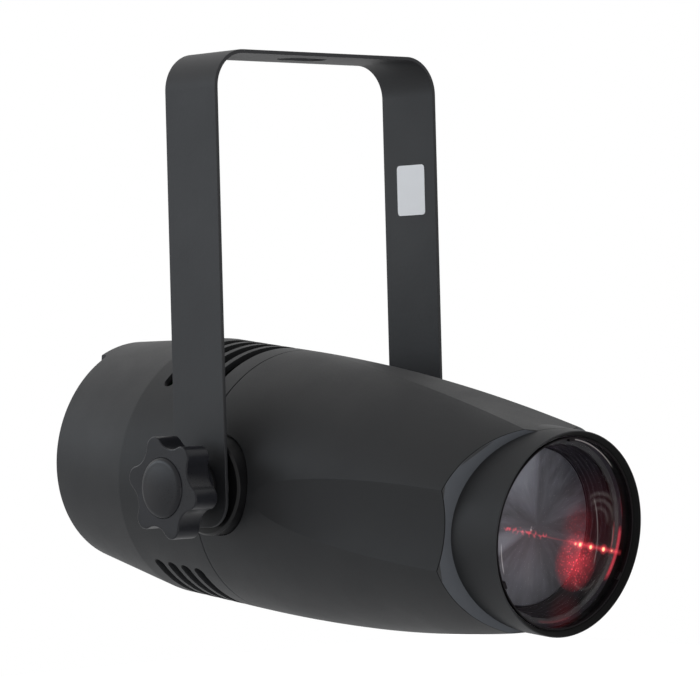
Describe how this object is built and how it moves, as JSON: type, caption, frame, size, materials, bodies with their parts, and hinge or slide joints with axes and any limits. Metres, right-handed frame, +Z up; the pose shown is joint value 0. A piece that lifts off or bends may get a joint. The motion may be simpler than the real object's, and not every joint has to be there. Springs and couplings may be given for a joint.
{
  "type": "pinspot light",
  "caption": "Tapered two-part pinspot head with a recessed lens, tilting in a flat steel yoke between two lobed clamp knobs, with sockets, display and buttons at the rear.",
  "frame": {"origin": "middle of the hanging slot, in the top face of the yoke's crossbar", "axes": "+Z up out of the crossbar's top face, the tilt axis along X, the lens looking towards -Y and a little down"},
  "size_m": [0.16, 0.2567, 0.2266],
  "materials": {
    "yoke_paint": "black powder coat, fine and satin",
    "shell_plastic": "black moulded, fine spark texture",
    "panel_plastic": "black, flat",
    "baffle_plastic": "black, dull",
    "knob_plastic": "black moulded, semi-gloss",
    "socket_plastic": "black moulded, smooth",
    "lens_glass": "clear, polished",
    "collimator_acrylic": "clear moulded",
    "display_lens": "smoked, polished",
    "led_silicone": "red-orange dome",
    "black_rubber": "dull",
    "button_rubber": "dull",
    "raw_aluminium": "extruded, bare",
    "led_board_white": "white solder mask on aluminium",
    "insert_brass": "turned",
    "bare_steel": "zinc plated",
    "board_green": "solder mask",
    "transformer_iron": "laminated core with yellow tape",
    "capacitor_sleeve": "shrink sleeve",
    "choke_copper": "enamelled wire",
    "chip_black": "moulded"
  },
  "bodies": {
    "yoke": {"yoke_strap": "yoke_paint"},
    "head": {"front_shell": "shell_plastic", "rear_shell": "shell_plastic", "lens_retaining_ring": "baffle_plastic", "front_lens": "lens_glass", "lens_gasket": "black_rubber", "collimator_holder": "baffle_plastic", "collimator_lens": "collimator_acrylic", "led_emitter": "led_silicone", "led_board": "led_board_white", "heatsink": "raw_aluminium", "chassis_bracket": "raw_aluminium", "rear_panel": "panel_plastic", "display_window": "display_lens", "display_module": "board_green", "control_board": "board_green", "signal_in_socket": "socket_plastic", "signal_out_socket": "socket_plastic", "mains_inlet": "socket_plastic", "driver_board": "board_green", "transformer": "transformer_iron", "smoothing_capacitor": "capacitor_sleeve", "filter_choke": "choke_copper", "driver_chip": "chip_black", "shell_screw_1": "bare_steel", "shell_screw_2": "bare_steel", "shell_screw_3": "bare_steel", "shell_screw_4": "bare_steel", "left_pivot_boss": "shell_plastic", "left_threaded_insert": "insert_brass", "left_friction_washer": "black_rubber", "right_pivot_boss": "shell_plastic", "right_threaded_insert": "insert_brass", "right_friction_washer": "black_rubber"},
    "left_washer": {"left_knob_washer": "bare_steel"},
    "left_knob": {"left_knob_stud": "bare_steel", "left_star_knob": "knob_plastic", "left_knob_cap": "knob_plastic"},
    "right_washer": {"right_knob_washer": "bare_steel"},
    "right_knob": {"right_knob_stud": "bare_steel", "right_star_knob": "knob_plastic", "right_knob_cap": "knob_plastic"},
    "menu_key": {"menu_button": "button_rubber"},
    "down_key": {"down_button": "button_rubber"},
    "up_key": {"up_button": "button_rubber"},
    "enter_key": {"enter_button": "button_rubber"}
  },
  "joints": [
    {"name": "head_tilt", "type": "hinge", "parent": "yoke", "child": "head", "pos_m": [0, 0, -0.1688], "axis": [1, 0, 0], "range_deg": [-180, 180]},
    {"name": "left_washer_slide", "type": "slide", "parent": "head", "child": "left_washer", "axis": [-1, 0, 0], "range_m": [0, 0.0025]},
    {"name": "left_knob_turn", "type": "hinge", "parent": "left_washer", "child": "left_knob", "pos_m": [-0.07, 0, -0.1688], "axis": [-1, 0, 0], "range_deg": [0, 720]},
    {"name": "right_washer_slide", "type": "slide", "parent": "head", "child": "right_washer", "axis": [1, 0, 0], "range_m": [0, 0.0025]},
    {"name": "right_knob_turn", "type": "hinge", "parent": "right_washer", "child": "right_knob", "pos_m": [0.07, 0, -0.1688], "axis": [1, 0, 0], "range_deg": [0, 720]},
    {"name": "menu_press", "type": "slide", "parent": "head", "child": "menu_key", "axis": [0, -0.9923, -0.1236], "range_m": [0, 0.0008], "stiffness_N_per_m": 400, "springref_m": -0.0006},
    {"name": "down_press", "type": "slide", "parent": "head", "child": "down_key", "axis": [0, -0.9923, -0.1236], "range_m": [0, 0.0008], "stiffness_N_per_m": 400, "springref_m": -0.0006},
    {"name": "up_press", "type": "slide", "parent": "head", "child": "up_key", "axis": [0, -0.9923, -0.1236], "range_m": [0, 0.0008], "stiffness_N_per_m": 400, "springref_m": -0.0006},
    {"name": "enter_press", "type": "slide", "parent": "head", "child": "enter_key", "axis": [0, -0.9923, -0.1236], "range_m": [0, 0.0008], "stiffness_N_per_m": 400, "springref_m": -0.0006}
  ],
  "couplings": [
    {"joint": "left_knob_turn", "follows": "left_washer_slide", "rad_per_m": 5026.5},
    {"joint": "right_knob_turn", "follows": "right_washer_slide", "rad_per_m": 5026.5}
  ]
}
